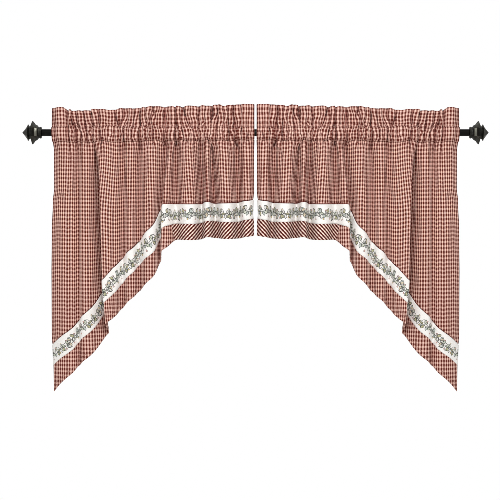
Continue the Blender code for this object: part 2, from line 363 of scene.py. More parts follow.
# The pinched valleys of the gathers: how far across the pocket each lies, how deep it is against its
# neighbours, how far below the pocket it runs out, and how far its top leans towards the middle.
Gather = namedtuple("Gather", "across depth below lean")
GATHERS = [Gather(*row) for row in (
    (57, 0.9, 60, -6), (72, 0.8, 34, -17), (92, 1.0, 52, -22), (113, 0.7, 28, -10), (134, 1.5, 120, -12),
    (156, 1.3, 40, -8), (178, 0.7, 30, -2), (200, 1.4, 46, 4), (213, 1.2, 26, 14), (233, 0.8, 60, 10),
    (254, 0.9, 24, 5), (277, 1.0, 58, 2), (299, 0.7, 30, -2), (321, 1.0, 44, -5), (340, 0.9, 30, -3),
    (357, 1.2, 70, -2), (373, 1.0, 90, 2), (388, 0.7, 26, 4), (403, 1.0, 54, -4), (419, 1.6, 38, -12),
    (431, 1.3, 30, -16), (449, 0.8, 26, -8), (466, 1.0, 48, -4), (484, 1.2, 84, 0), (503, 0.9, 40, 2),
    (525, 1.4, 36, 7), (541, 0.9, 30, 0), (560, 1.3, 56, -7), (579, 1.2, 92, -6), (601, 0.9, 44, -2),
    (620, 0.5, 24, 0),
)]
# The folds are worked out level by level, in mm below the rod, and the cloth between them by its columns
COLUMNS = 384
TOP_LEVEL = -102.0
LEVEL_STEP = 6.0
LEVELS = 160
FOLD_STEPS = 24
# How the folds open towards the hem, how pinched their valleys are, where their width is measured, and how the
# cloth is shared out: its flat ends at the pocket, how bunched it is there, and where it has fanned out
OPENING = 0.4
PINCH = 1.7
REFERENCE = 0.62
FLAT_ENDS = (60.0, 28.0)
BUNCHED = 0.6
FAN_OUT = 260.0
# The gathers' puckers at the stitching, how deep they may be, and how the ruffle opens above them
PUCKER = 0.6
PUCKER_RUN = 16.0
PUCKER_TURNS, PUCKER_SHIFT = 1.5, 2.3
RIDGE = 1.8
GATHER_RISE = 0.2
DEEPEST_GATHER = 9.0
RUFFLE_FLARE = 0.4
FULL_AWAY = 60.0
SHARPER_AWAY = 0.7
LEANING = (14.0, 75.0)
# The solver's rounds, the least length that it divides by, how far it goes in a round, and its limits
SOLVER_ROUNDS = 9
LEAST_LENGTH = 0.2
SOLVER_STEP = (0.6, 1.6)
SIZE_LIMITS = (0.02, 3.0)
DEPTH_LIMITS = (0.75, 1.5)


def held(value):
    return np.clip(value, 0.0, 1.0)


def eased(share):
    """A share from 0 to 1 that starts and ends gently."""
    return share * share * (3 - 2 * share)


def fold_table(drop):
    """Where every fold hangs at one drop below the rod: an array of (across, depth)."""
    points = []
    for fold in FOLDS:
        to_band = held((drop - STITCH_BELOW) / (fold.band_top - STITCH_BELOW))
        to_hem = held((drop - fold.band_top) / (fold.hem - fold.band_top))
        across = fold.pocket_across + (fold.band_across - fold.pocket_across) * to_band
        across += (fold.hem_across - fold.band_across) * to_hem
        down = held((drop - STITCH_BELOW) / (fold.hem - STITCH_BELOW)) ** OPENING
        points.append((across, fold.pocket_depth + (fold.hem_depth - fold.pocket_depth) * down))
    first = [2 * a - b for a, b in zip(points[0], points[1])]
    last = [2 * a - b for a, b in zip(points[-1], points[-2])]
    return np.array([first] + points + [last])


def fold_line(drop):
    """The cloth's line in plan at one drop: a smooth curve round each ridge and valley."""
    points = fold_table(drop)
    t = (np.arange(FOLD_STEPS) / FOLD_STEPS)[:, None]
    stretches = []
    for before, start, end, after in zip(points, points[1:], points[2:], points[3:]):
        leave = (end - before) / 2
        arrive = (after - start) / 2
        square = 3 * end - 3 * start - 2 * leave - arrive
        cubic = 2 * start - 2 * end + leave + arrive
        stretch = start + leave * t + square * t ** 2 + cubic * t ** 3
        rise = end[1] - start[1]
        share = held((stretch[:, 1] - start[1]) / rise)
        share = share ** PINCH if rise > 0 else 1 - (1 - share) ** PINCH
        stretch[:, 1] = start[1] + rise * share
        stretches.append(stretch)
    return np.concatenate(stretches + [points[-2:-1]])


def lengths_along(line):
    steps = np.linalg.norm(np.diff(line, axis=0), axis=1)
    return np.concatenate([[0.0], np.cumsum(steps)])


# How much cloth lies between each fold and the next where the panel hangs free, and how it is shared out at the
# pocket, where it is gathered evenly but for its two flat ends
free_lengths = []
for number in range(len(FOLDS) - 1):
    lengths = lengths_along(fold_line(REFERENCE * (FOLDS[number].hem + FOLDS[number + 1].hem) / 2))
    free_lengths.append(lengths[(number + 1) * FOLD_STEPS] - lengths[number * FOLD_STEPS])
FOLD_AT = np.concatenate([[0.0], np.cumsum(free_lengths)])
FOLD_AT *= FLAT_WIDTH / FOLD_AT[-1]
pocket_across = [fold.pocket_across for fold in FOLDS]
POCKET_AT = np.interp(
    pocket_across, [0.0, FLAT_ENDS[0], HUNG_WIDTH - FLAT_ENDS[1], HUNG_WIDTH],
    [0.0, FLAT_ENDS[0], FLAT_WIDTH - FLAT_ENDS[1], FLAT_WIDTH])
POCKET_AT += (FOLD_AT - POCKET_AT) * BUNCHED
flat_at = np.linspace(0.0, FLAT_WIDTH, COLUMNS + 1)


def fold_marks(drop):
    """The flat position of every fold: even at the pocket, and each fold's own share below it."""
    return POCKET_AT + (FOLD_AT - POCKET_AT) * eased(held((drop - STITCH_BELOW) / FAN_OUT))


def cloth_share(line, drop):
    """The flat position of each point of a line."""
    lengths = lengths_along(line)
    return np.interp(lengths, lengths[::FOLD_STEPS], fold_marks(drop))


# The pinches by their flat position, with a slight one at each side edge
pinch_at = np.interp([gather.across for gather in GATHERS], pocket_across, POCKET_AT)
pinch_at = np.concatenate([[0.0], pinch_at, [FLAT_WIDTH]])
EDGE_PINCH = {"depth": 0.3, "below": 20.0, "lean": 0.0}
pinch_size, pinch_below, pinch_lean = [
    np.array([at_edge] + [getattr(gather, field) for gather in GATHERS] + [at_edge])
    for field, at_edge in EDGE_PINCH.items()]


def gather_wave(flat, away, below):
    """The gathers' relief at a flat position: below 0 on a round ridge, above 0 in a pinched valley."""
    cell = np.clip(np.searchsorted(pinch_at, flat, side="right") - 1, 0, len(pinch_at) - 2)
    width = pinch_at[cell + 1] - pinch_at[cell]
    t = (flat - pinch_at[cell]) / width
    sharp = 0.5 + SHARPER_AWAY * min(away / FULL_AWAY, 1.0)
    ridge = np.sin(np.pi * held(t)) ** sharp
    depth = pinch_size[cell] * (1 - t) + pinch_size[cell + 1] * t
    run = pinch_below[cell] * (1 - t) + pinch_below[cell + 1] * t
    fade = np.exp(-np.maximum(below, 0.0) / run)
    pucker = PUCKER * np.sin(math.tau * t * PUCKER_TURNS + cell * PUCKER_SHIFT) * math.exp(-away / PUCKER_RUN)
    return (1 - RIDGE * ridge + pucker) * depth * fade * width * GATHER_RISE


def off_line(across, depth, by):
    """Points of a line in plan, moved off it by as much to its side."""
    run, turn = np.gradient(across), np.gradient(depth)
    length = np.maximum(np.hypot(run, turn), 1e-6)
    return across - turn / length * by, depth + run / length * by


def waved(line, share, marks, wave, sizes):
    """The line moved off itself by its gathers, each fold's gathers by their own size."""
    size = np.interp(share, (marks[1:] + marks[:-1]) / 2, sizes)
    shift = np.clip(wave * size, -DEEPEST_GATHER, DEEPEST_GATHER)
    return np.stack(off_line(line[:, 0], line[:, 1], shift), axis=1)


def level_line(drop, sizes=None):
    """The cloth's line at one drop with its gathers, each point's flat position, and the gathers' sizes,
    which are worked out down to the pocket's lower stitching so that the line is as long as its cloth."""
    line = fold_line(drop)
    if drop < -STITCH_ABOVE:
        line[:, 1] *= 1 + RUFFLE_FLARE * min((-drop - STITCH_ABOVE) / FULL_AWAY, 1.0)
    marks = fold_marks(drop)
    up = held((LEANING[0] - drop) / LEANING[1])
    line[:, 0] += np.interp(cloth_share(line, drop), pinch_at, pinch_lean) * eased(up)
    share = cloth_share(line, drop)
    away = max(-drop - STITCH_ABOVE, drop - STITCH_BELOW, 0.0)
    wave = gather_wave(share, away, drop - STITCH_BELOW)
    if sizes is None:
        wanted = np.diff(marks)
        plain = np.diff(lengths_along(line)[::FOLD_STEPS])
        sizes = np.ones(len(wanted))
        for _ in range(SOLVER_ROUNDS):
            got = np.diff(lengths_along(waved(line, share, marks, wave, sizes))[::FOLD_STEPS])
            better = np.sqrt(np.maximum(wanted - plain, 0.0) / np.maximum(got - plain, LEAST_LENGTH))
            sizes = np.clip(sizes * np.clip(better, *SOLVER_STEP), *SIZE_LIMITS)
    if drop > STITCH_BELOW:
        shallow, deep = DEPTH_LIMITS
        for _ in range(SOLVER_ROUNDS):
            deeper = (shallow + deep) / 2
            if lengths_along(waved(line * (1, deeper), share, marks, wave, sizes))[-1] > FLAT_WIDTH:
                deep = deeper
            else:
                shallow = deeper
        line[:, 1] *= deeper
    line = waved(line, share, marks, wave, sizes)
    return line, cloth_share(line, drop), sizes


# The smallest ripples belong to the gathered cloth between the flat ends. They fade below the pocket, and the
# sharpest lie near the stitching.
RIPPLED_FROM, RIPPLED_IN, RIPPLED_BEFORE = 58.0, 30.0, 60.0
RIPPLED_BELOW, RIPPLES_FADE = 10.0, 62.0
PUCKERED_PAST, PUCKERS_FADE = 22.0, 14.0
edge_share = held((flat_at - RIPPLED_FROM) / RIPPLED_IN) * held((FLAT_WIDTH - flat_at) / RIPPLED_BEFORE)
level_across = np.zeros((LEVELS, COLUMNS + 1))
level_depth = np.zeros((LEVELS, COLUMNS + 1))
pocket_sizes = level_line(STITCH_BELOW)[2]
for number in range(LEVELS):
    drop = TOP_LEVEL + LEVEL_STEP * number
    line, share, sizes = level_line(drop, None if drop <= STITCH_BELOW else pocket_sizes)
    level_across[number] = np.interp(flat_at, share, line[:, 0])
    level_depth[number] = np.interp(flat_at, share, line[:, 1])

# How many columns round off the corners of the folds' sizes along the seams
ROUNDING = 4
ROUNDED = np.hanning(2 * ROUNDING + 3)[1:-1] / np.hanning(2 * ROUNDING + 3).sum()


def by_fold(field):
    """A size from the table of folds, at every column of the cloth, with its corners rounded a little."""
    sizes = np.interp(flat_at, FOLD_AT, [getattr(fold, field) for fold in FOLDS])
    return np.convolve(np.pad(sizes, ROUNDING, "reflect", reflect_type="odd"), ROUNDED, "valid")


seam_drop = by_fold("band_top")
foot_drop = by_fold("band_foot")
hem_drop = by_fold("hem")

# How far the two side edges stray from the folds' line: the drop, and how far towards the middle of the window
OUTER_EDGE = (
    (-90, -3.5), (-30, -3.0), (0, -1.0), (30, 0.6), (50, 3.2), (182, 4.2), (206, 0.5), (235, 0.0), (285, -2.5),
    (440, -3.8), (640, -2.0), (690, 1.0), (740, 0.0), (825, -3.0),
)
INNER_EDGE = ((190, 0.0), (208, -2.2), (262, -4.5), (282, 0.0))
EDGE_REACH = 70.0
# Short deep tucks where the gathering thread has pinched the cloth: how far across, how far below the rod
# their middle lies, how deep and how long they are, and how far they lean for each mm down
Tuck = namedtuple("Tuck", "across drop deep length lean")
TUCKS = [Tuck(*row) for row in (
    (131, -23, 14, 11, 0.3), (158, 20, 10, 9, 0.2), (162, 2, 8, 9, 0.0), (201, -52, 14, 13, 0.1),
    (205, -34, 15, 11, 0.2), (213, -30, 12, 12, -0.3), (226, 15, 12, 14, 0.1), (307, -31, 12, 12, -0.2),
    (324, -62, 14, 15, 0.3), (355, 22, 15, 17, 0.0), (392, 27, 15, 14, 0.1), (420, -64, 20, 17, 0.3),
    (431, -28, 15, 14, 0.4), (483, 12, 14, 13, 0.2), (496, 26, 15, 13, 0.2), (524, -63, 17, 14, -0.3),
    (560, -2, 14, 16, 0.5), (583, 34, 15, 19, 0.5), (622, 8, 10, 12, -0.5),
)]
TUCK_HALF_WIDTH = 3.8
TUCK_DRAWS = 2.6
TUCK_DRAWN = 0.45
# The cloth's small wrinkles, as smooth noise: how long its waves are across and down, how it leans, its seed,
# and its size
Ripple = namedtuple("Ripple", "across down lean seed size")
UPRIGHT = math.inf
WRINKLES = (Ripple(26.0, 105.0, UPRIGHT, 3.7, 1.6), Ripple(11.0, 60.0, 160.0, 9.2, 0.5))
SIDEWAYS = (Ripple(30.0, 30.0, UPRIGHT, 21.3, 5.0), Ripple(12.0, 13.0, UPRIGHT, 4.1, 3.0))
UPWARDS = (Ripple(24.0, 34.0, UPRIGHT, 31.9, 4.0), Ripple(11.0, 17.0, UPRIGHT, 14.7, 2.6))


def rippled(ripples, drop, shares=(1.0, 1.0)):
    """How far the ripples move the cloth at every column, each by its share."""
    drop = np.broadcast_to(drop, flat_at.shape)
    return sum(
        np.array([
            noise.noise(Vector((flat / ripple.across + fall / ripple.lean, fall / ripple.down, ripple.seed)))
            for flat, fall in zip(flat_at, drop)]) * ripple.size * share
        for ripple, share in zip(ripples, shares))


def hung(drop, layer=0.0, bulge=0.0, crease=0.0):
    """A row of the cloth as points in mm. drop is each column's; layer moves the row off the middle line
    towards the wall, bulge straight towards the wall, and crease is how strong its small wrinkles are."""
    drop = np.broadcast_to(np.asarray(drop, float), flat_at.shape)
    place = np.clip((drop - TOP_LEVEL) / LEVEL_STEP, 0, LEVELS - 1.001)
    low = place.astype(int)
    part = place - low
    columns = np.arange(COLUMNS + 1)
    across, depth = [
        level[low, columns] * (1 - part) + level[low + 1, columns] * part for level in (level_across, level_depth)]
    if crease:
        depth = depth + crease * rippled(WRINKLES, drop)
    across, depth = off_line(across, depth, layer)
    depth = depth + bulge
    gathered = held(1 - np.maximum(drop - RIPPLED_BELOW, 0.0) / RIPPLES_FADE) * edge_share
    puckered = np.exp(-(np.maximum(np.abs(drop) - PUCKERED_PAST, 0.0) / PUCKERS_FADE) ** 2) * edge_share
    across = across + rippled(SIDEWAYS, drop, (gathered, puckered))
    across = across + np.interp(drop, *zip(*OUTER_EDGE)) * held(1 - flat_at / EDGE_REACH)
    across = across + np.interp(drop, *zip(*INNER_EDGE)) * held(1 - (FLAT_WIDTH - flat_at) / EDGE_REACH)
    for tuck in TUCKS:
        off = across - tuck.across - tuck.lean * (drop - tuck.drop)
        along = ((drop - tuck.drop) / tuck.length) ** 2
        depth = depth + tuck.deep * np.exp(-(off / TUCK_HALF_WIDTH) ** 2 - along)
        across = across - TUCK_DRAWN * off * np.exp(-(off / (TUCK_DRAWS * TUCK_HALF_WIDTH)) ** 2 - along)
    height = rippled(UPWARDS, drop, (gathered, puckered)) - drop
    return np.stack([across - HALF_GAP - HUNG_WIDTH, depth, height], axis=1)


# The rod pocket: how far it bulges, and how near it comes to the rod's middle. Its lower stitching wanders a
# little and lies lower towards the outer edge.
POCKET_BULGE = 17.9
POCKET_ROUND = 0.6
ROD_CLEAR = 12.6
LOWER_BY, LESS_INSIDE, INSIDE_PAST = 6.5, 6.0, 700.0
lower_stitching = STITCH_BELOW + (
    LOWER_BY - LESS_INSIDE * np.minimum(flat_at / INSIDE_PAST, 1.0)
    + rippled([Ripple(60.0, 1.0, UPRIGHT, 0.0, 4.5)], 6.1)
    + rippled([Ripple(19.0, 1.0, UPRIGHT, 0.0, 3.5)], 2.9))


def pocket_row(angle, way):
    """One row of the pocket: angle goes round the rod from its top, way is -1 before the rod and 1 behind.
    The row is kept off the rod."""
    reach = STITCH_ABOVE if angle < math.pi / 2 else lower_stitching
    bulge = POCKET_BULGE * max(math.sin(angle), 0.0) ** POCKET_ROUND
    row = hung(-reach * math.cos(angle), way * LAYER, way * bulge)
    near = (np.hypot(row[:, 1], row[:, 2]) < ROD_CLEAR) | (row[:, 1] * way < 0)
    row[near, 1] = way * np.sqrt(np.maximum(ROD_CLEAR ** 2 - row[near, 2] ** 2, 0.0))
    return row


# How high the ruffle stands above the rod, from the outer edge to the inner one: across and height
RUFFLE_TOP = (
    (0, 79), (40, 80), (57, 69), (70, 75), (83, 71), (108, 69), (130, 73), (172, 75), (184, 69), (205, 77),
    (223, 78), (248, 74), (273, 81), (324, 82), (362, 84), (392, 81), (410, 86), (425, 80), (440, 85), (515, 87),
    (528, 88), (542, 85), (578, 90), (616, 91), (640, 91),
)
# How many rows there are in the pocket behind the rod, up and down the ruffle, before the rod and below it
POCKET_BACK, RUFFLE_BACK, RUFFLE_FRONT, POCKET_FRONT, HANGING = 8, 6, 16, 13, 62
TURN_OVER = (45, 90, 135)
BACK_ROWS = POCKET_BACK + RUFFLE_BACK + len(TURN_OVER)
ROWS_CLOSER = 1.35
RUFFLE_CREASED, POCKET_CREASED = 0.5, 0.35
SETTLE = 40.0
# Close to the band the panel sinks into the seam: how far below the seam each row lies, how far it sinks, and
# how much painted shade darkens its colour there
DITCH = 7.0
DITCH_ROWS = (
    (-5.0, 0.1, 0.0), (-3.2, 0.8, 0.55), (-1.6, 2.0, 1.0), (0.0, 2.6, 1.0), (3.0, 1.6, 1.0), (7.0, 1.0, 1.0))


def ruffle_row(turn_over, share, layer):
    return hung(-(STITCH_ABOVE + (turn_over - STITCH_ABOVE) * share), layer, crease=RUFFLE_CREASED)


def panel_rows():
    """Every row of the panel, from the pocket's hem behind the rod to the seam of the band, and the flat
    cloth's fall at each: rows above the lower stitching fall by their own lengths."""
    top_across = np.interp(flat_at, POCKET_AT, pocket_across)
    turn_over = np.interp(top_across, *zip(*RUFFLE_TOP)) - LAYER - CLOTH / 2
    turn_over += rippled([Ripple(14.0, 1.0, UPRIGHT, 0.0, 0.7)], 8.4)
    rows = [pocket_row(math.pi * (1 - step / POCKET_BACK), 1) for step in range(POCKET_BACK)]
    rows += [ruffle_row(turn_over, step / RUFFLE_BACK, LAYER) for step in range(RUFFLE_BACK + 1)]
    for angle in TURN_OVER:
        over = math.radians(angle)
        rows.append(hung(-(turn_over + LAYER * math.sin(over)), LAYER * math.cos(over), crease=RUFFLE_CREASED))
    rows += [ruffle_row(turn_over, 1 - step / RUFFLE_FRONT, -LAYER) for step in range(RUFFLE_FRONT + 1)]
    rows += [pocket_row(math.pi * step / POCKET_FRONT, -1) for step in range(1, POCKET_FRONT)]
    rows.append(hung(lower_stitching, -LAYER, crease=POCKET_CREASED))
    falls = [0.0]
    for upper, lower in zip(rows, rows[1:]):
        falls.append(falls[-1] + float(np.median(np.linalg.norm(lower - upper, axis=1))))
    falls = [np.full(COLUMNS + 1, STITCH_BELOW + fall - falls[-1]) for fall in falls]
    shares = [(step / HANGING) ** ROWS_CLOSER for step in range(1, HANGING + 1)]
    places = [((seam_drop - DITCH - lower_stitching) * share, 0.0, share) for share in shares]
    places += [(seam_drop - lower_stitching + down, sink, 1.0) for down, sink, _ in DITCH_ROWS]
    for hang, sink, share in places:
        layer = sink - LAYER * (1 - eased(held(hang / SETTLE)))
        rows.append(hung(lower_stitching + hang, layer, crease=POCKET_CREASED + (1 - POCKET_CREASED) * share))
        falls.append(STITCH_BELOW + hang)
    return rows, [np.stack([flat_at, -fall], axis=1) for fall in falls]


# Painted shade darkens the cloth's colour down in its creases: the columns on each side that a crease is measured
# against, how deep a crease takes full shade, its share round the ruffle and pocket and where the cloth hangs
# free, and the drops between which it fades
NEAR_COLUMNS = 5
CREASE_DEEP = 2.2
CREASE_SHADE = 0.75
HUNG_CREASE_SHADE = CREASE_SHADE / 8
CREASE_SHADE_FADES = (STITCH_BELOW + 4, STITCH_BELOW + 40)


def in_crease(row, way):
    """How far each point of a row lies down in a crease, as seen from the front (way 1) or the back (-1)."""
    near = np.convolve(np.pad(row[:, 1], NEAR_COLUMNS, "edge"), np.ones(2 * NEAR_COLUMNS + 1), "valid")
    return held((row[:, 1] - near / (2 * NEAR_COLUMNS + 1)) * way / CREASE_DEEP)


HEM = 12.0
LOWEST_ROWS = 6
in_side_hem = (flat_at < HEM) | (flat_at > FLAT_WIDTH - HEM)


def cloth_sheet(name, rows, side, materials, flat_rows, painted_shades, bottom_hem=0):
    """A grid of the cloth, each point moved to its place, with its flat position kept in a UV map, in m.
    A further list gives each row's points their painted shade, darker in seams and creases, kept in an
    attribute. The cloth is twice as thick where it is turned over in its side hems and in the last rows of the
    bottom hem."""
    sheet = bmesh.new()
    last = len(rows) - 1
    bmesh.ops.create_grid(sheet, x_segments=COLUMNS, y_segments=last, size=1.0)
    flat_map = sheet.loops.layers.uv.new("cut")
    painted_shade_map = sheet.verts.layers.float.new("painted_shade")
    turned_over = sheet.verts.layers.deform.verify()
    flat_place = {}
    for vert in sheet.verts:
        column = round((vert.co.x + 1) / 2 * COLUMNS)
        row = round((1 - vert.co.y) / 2 * last)
        flat_place[vert] = Vector(flat_rows[row][column]) * MM
        # Each point's painted shade
        vert[painted_shade_map] = painted_shades[row][column]
        vert[turned_over][0] = float(in_side_hem[column] or row > last - bottom_hem)
        vert.co = Vector(rows[row][column]) * MM
    for face in sheet.faces:
        for loop in face.loops:
            loop[flat_map].uv = flat_place[loop.vert]
    if side > 0:
        bmesh.ops.scale(sheet, vec=(-1, 1, 1), verts=sheet.verts)
    # The face side is the one that looks at the room, which the lowest rows tell
    bmesh.ops.recalc_face_normals(sheet, faces=sheet.faces)
    lowest = sheet.faces[:][-COLUMNS * LOWEST_ROWS:]
    if sum(face.normal.y * face.calc_area() for face in lowest) > 0:
        bmesh.ops.reverse_faces(sheet, faces=sheet.faces)
    piece = joined_mesh(name, sheet, materials[0])
    for material in materials[1:]:
        piece.data.materials.append(material)
    piece.data.shade_smooth()
    piece.vertex_groups.new(name="turned over")
    body = piece.modifiers.new("cloth", "SOLIDIFY")
    body.thickness = 2 * CLOTH * MM
    body.offset = 0.0
    body.vertex_group = "turned over"
    body.thickness_vertex_group = 0.5
    body.material_offset = len(materials) - 1
    return piece


# woven cotton: the cloth's flat place in metres goes in. Over is 1 where a lengthwise thread lies on top,
# Height is the threads' relief, and Slub wanders with their thickness.
THREADS_PER_METRE = 1250.0
SLUB = 420.0
woven, woven_in, woven_out = new_group(
    "woven cotton", {"Cut": "Vector"}, {"Over": "Float", "Height": "Float", "Slub": "Float"})
apart = add_node(woven, "SeparateXYZ", {0: woven_in["Cut"]}).outputs
crossing = math_node(woven, "MULTIPLY", *[
    math_node(woven, "SINE", math_node(woven, "MULTIPLY", apart[axis], THREADS_PER_METRE * math.pi))
    for axis in "XY"])
slub = add_node(woven, "TexNoise", {"Vector": woven_in["Cut"], "Scale": SLUB, "Detail": 3.0})
fill_in(woven, woven_out, {
    "Over": math_node(woven, "GREATER_THAN", crossing, 0.0), "Height": math_node(woven, "ABSOLUTE", crossing),
    "Slub": slub.outputs["Fac"]})

# gingham check: Deep is 1 on a coloured square, 0.5 where one stripe crosses plain thread, 0 on plain cloth
CHECK = {"X": 8.64, "Y": 13.0}
STRIPE_EDGE = 3.0
STRIPE_SHARE = 0.95
checked, checked_in, checked_out = new_group(
    "gingham check", {"Cut": "Vector", "Over": "Float", "Lengthwise": "Float"}, {"Deep": "Float"})
cut_parts = add_node(checked, "SeparateXYZ", {0: checked_in["Cut"]}).outputs
stripes = []
for axis, pitch in CHECK.items():
    round_trip = math_node(checked, "MULTIPLY", cut_parts[axis], math.tau / (pitch * MM))
    swing = math_node(checked, "SINE", round_trip)
    stripes.append(math_node(checked, "MULTIPLY_ADD", swing, STRIPE_EDGE, STRIPE_SHARE, clamp=True))
room_left = math_node(checked, "SUBTRACT", 1.0, checked_in["Lengthwise"])
warp_faced = math_node(checked, "MULTIPLY_ADD", checked_in["Over"], room_left, checked_in["Lengthwise"])
top = math_node(checked, "MULTIPLY", stripes[0], warp_faced)
under = math_node(checked, "SUBTRACT", 1.0, warp_faced)
fill_in(checked, checked_out, {"Deep": math_node(checked, "MULTIPLY_ADD", stripes[1], under, top)})

CREAM_THREAD = (0.93, 0.62, 0.53)
RED_THREAD = (0.115, 0.0155, 0.0085)
DEEPENING = 3.0
# Painted shade: how dark and how red the cloth's colour turns where the attribute marks seams and creases
PAINTED_SHADE_STRENGTH = 0.9
PAINTED_SHADE_TINT = (0.36, 0.10, 0.08)
LENGTHWISE = 0.24
SLUB_TONE = (0.30, 0.85)
THREAD_STRENGTH = 0.3
THREAD_HEIGHT = 0.25 * MM


def as_seen(colour):
    """A thread's colour on the scale on which the crossings are mixed."""
    return tuple(part ** (1 / DEEPENING) for part in colour)


def gingham_material(name, turned=None):
    """Red and cream gingham. turned is a function that turns the flat place where the cloth is cut bias, and
    gives how much of each crossing the lengthwise threads cover there, and the two threads' colours."""
    material, tree, shader = new_material(name)
    cut = add_node(tree, "UVMap", uv_map="cut").outputs["UV"]
    threads = add_node(tree, "Group", {"Cut": cut}, node_tree=woven).outputs
    laid, lengthwise, cream, red = (
        turned(tree, cut) if turned else (cut, LENGTHWISE, as_seen(CREAM_THREAD), as_seen(RED_THREAD)))
    check = add_node(
        tree, "Group", {"Cut": laid, "Over": threads["Over"], "Lengthwise": lengthwise}, node_tree=checked)
    mixed = add_node(tree, "Gamma", {
        "Color": blend_colours(tree, check.outputs["Deep"], cream, red), "Gamma": DEEPENING})
    # The painted shade in seams and creases darkens and reddens the check
    painted_shade = add_node(tree, "Attribute", attribute_name="painted_shade")
    shaded = blend_colours(
        tree, math_node(tree, "MULTIPLY", painted_shade.outputs["Fac"], PAINTED_SHADE_STRENGTH), (1.0, 1.0, 1.0), PAINTED_SHADE_TINT)
    with_painted_shade = add_node(tree, "VectorMath", {0: mixed.outputs["Color"], 1: shaded}, operation="MULTIPLY")
    tone = math_node(tree, "MULTIPLY_ADD", threads["Slub"], *SLUB_TONE)
    toned = add_node(tree, "VectorMath", {0: with_painted_shade.outputs[0], "Scale": tone}, operation="SCALE")
    fill_in(tree, shader, {
        "Base Color": toned.outputs[0], "Normal": bumped(tree, threads["Height"], THREAD_STRENGTH, THREAD_HEIGHT),
        "Roughness": 0.88, "Specular IOR Level": 0.15, "Sheen Weight": 0.04, "Sheen Roughness": 0.5})
    return material


gingham = gingham_material("red gingham")
top_rows, panel_flat = panel_rows()
# Each point's painted shade: the deeper it lies in a crease, the darker, most of all round the ruffle and the
# pocket
panel_painted_shade = [
    in_crease(row, 1 if number >= BACK_ROWS else -1)
    * np.interp(-row[:, 2], CREASE_SHADE_FADES, (CREASE_SHADE, HUNG_CREASE_SHADE))
    for number, row in enumerate(top_rows)]
# In the ditch above the band the painted shade is raised towards full, by each ditch row's third number
for row, (_, _, painted_shade) in zip(panel_painted_shade[-len(DITCH_ROWS):], DITCH_ROWS):
    row += painted_shade * (1 - row)
for where, side in SIDES:
    piece = cloth_sheet("gingham_panel_" + where, top_rows, side, (gingham,), panel_flat, panel_painted_shade)
    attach(piece, "root")
    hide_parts("panel_" + where)


# ---- The vine bands ---------------------------------------
# A cream cotton strip, 57 mm wide, printed with a berry vine. It is pieced in along the panel's stepped
# edge, a little proud of the gingham, with a mitre where the slanted edge turns level.
BAND_WIDTH = 57.0
BAND_STEPS = 16
BAND_PROUD = 1.0
EDGE_RUN = 1 / 6
EDGE_PROUD = 0.5
# The flat cut of the seam: it slants from the outer edge to the mitre, and is level from there
CUT_OUTER = 676.0
CUT_LEVEL = 229.0
MITRE_AT = 590.0
CUT_SLOPE = (CUT_OUTER - CUT_LEVEL) / MITRE_AT
CUT_ANGLE = math.atan(CUT_SLOPE)
MITRE_LEAN = (1 / math.cos(CUT_ANGLE) - 1) / CUT_SLOPE


def strip_rows(top, foot, steps, proud=0.0):
    """Rows of a strip between two seams of the hung cloth."""
    rows = []
    for step in range(steps + 1):
        share = step / steps
        inwards = 1 - (1 - min(min(share, 1 - share) / EDGE_RUN, 1.0)) ** 2
        rows.append(hung(top + (foot - top) * share, -proud * (1 + EDGE_PROUD * inwards), crease=1.0))
    return rows


def cut_line(below):
    """How far down the flat cloth a line lies that runs parallel to the band's upper seam, below it."""
    slanted = CUT_OUTER - CUT_SLOPE * flat_at + below / math.cos(CUT_ANGLE)
    return np.maximum(slanted, CUT_LEVEL + below)


def strip_flat(at, top, foot, steps):
    """The flat places of a strip's rows, from its upper seam to its lower one."""
    return [np.stack([at, -top - (foot - top) * step / steps], axis=1) for step in range(steps + 1)]


def past_mitre(tree, cut):
    """1 on the level side of the mitre, 0 on the slanted side."""
    parts = add_node(tree, "SeparateXYZ", {0: cut}).outputs
    leaning = math_node(
        tree, "MULTIPLY_ADD", parts["Y"], MITRE_LEAN, (CUT_LEVEL * MITRE_LEAN - MITRE_AT) * MM)
    return math_node(tree, "GREATER_THAN", math_node(tree, "ADD", parts["X"], leaning), 0.0)


def choose(tree, share, first, second):
    """A Mix node of two vectors."""
    return add_node(tree, "Mix", {0: share, 4: first, 5: second}, data_type="VECTOR").outputs[1]


# printed leaf: the strip's place in mm and its colour so far go in. A pointed leaf is printed over it in its dye,
# with its outline and its vein in ink.
INK = (0.035, 0.036, 0.03)
LEAF_EDGE = 9.0
LEAF_OUTLINE = -3.0
VEIN_EDGE = -14.0
leaf_print, leaf_in, leaf_out = new_group(
    "printed leaf",
    {"Place": "Vector", "Middle": "Vector", "Turn": "Vector", "Half Size": "Vector", "Ground": "Color",
     "Dye": "Color"},
    {"Colour": "Color"})
seat = add_node(leaf_print, "Mapping", {
    "Vector": leaf_in["Place"], "Location": leaf_in["Middle"], "Rotation": leaf_in["Turn"],
    "Scale": leaf_in["Half Size"]}, vector_type="TEXTURE")
leaf_parts = add_node(leaf_print, "SeparateXYZ", {0: seat.outputs[0]}).outputs
along_leaf = math_node(leaf_print, "POWER", math_node(leaf_print, "ABSOLUTE", leaf_parts["X"]), 2.0)
off_vein = math_node(leaf_print, "ABSOLUTE", leaf_parts["Y"])
inside = math_node(leaf_print, "SUBTRACT", math_node(leaf_print, "SUBTRACT", 1.0, along_leaf), off_vein)
leaf_mask = math_node(leaf_print, "MULTIPLY_ADD", inside, LEAF_EDGE, 0.0, clamp=True)
leaf_inner = math_node(leaf_print, "MULTIPLY_ADD", inside, LEAF_EDGE, LEAF_OUTLINE, clamp=True)
outline = math_node(leaf_print, "SUBTRACT", leaf_mask, leaf_inner)
vein = math_node(leaf_print, "MULTIPLY_ADD", off_vein, VEIN_EDGE, 1.0, clamp=True)
